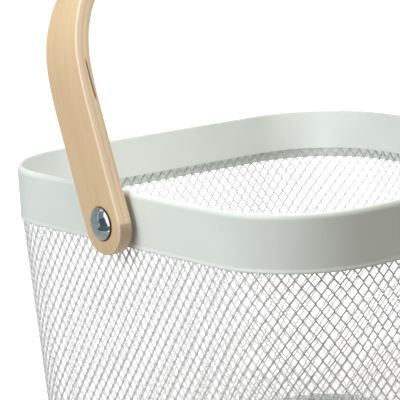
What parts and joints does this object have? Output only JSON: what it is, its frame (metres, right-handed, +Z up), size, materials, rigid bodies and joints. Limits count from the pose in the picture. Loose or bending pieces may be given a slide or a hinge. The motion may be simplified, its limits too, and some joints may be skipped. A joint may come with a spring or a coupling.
{
  "type": "mesh colander basket",
  "caption": "Rounded square expanded-metal basket colander with a folded sheet rim band and a bent wood handle that swings on rivets.",
  "frame": {"origin": "on the ground under the middle of the basket, at the bottom centre of the whole part with its handle swung back as in the picture", "axes": "+Z up; +X runs from the left rivet to the right rivet, along the pivot line of the handle; +Y along the longer side of the basket"},
  "size_m": [0.2804, 0.26, 0.3086],
  "materials": {
    "band_coat": "pale grey-green powder coat, satin, on folded sheet steel",
    "net_coat": "pale grey-green powder coat on expanded steel",
    "birch": "clear satin lacquer on laminated birch veneer, plies showing on the edges",
    "bright_steel": "polished bright plated steel",
    "pale_nylon": "plain moulded nylon"
  },
  "bodies": {
    "basket": {"rim_band": "band_coat", "mesh_wall": "net_coat", "mesh_floor": "net_coat", "base_hoop": "band_coat", "washer_left": "bright_steel", "washer_right": "bright_steel"},
    "bail": {"handle": "birch", "rivet_left": "bright_steel", "rivet_right": "bright_steel", "spacer_left": "pale_nylon", "spacer_right": "pale_nylon"}
  },
  "joints": [
    {"name": "handle_swing", "type": "hinge", "parent": "basket", "child": "bail", "pos_m": [0, 0, 0.1645], "axis": [1, 0, 0], "range_deg": [-83, 120]}
  ]
}
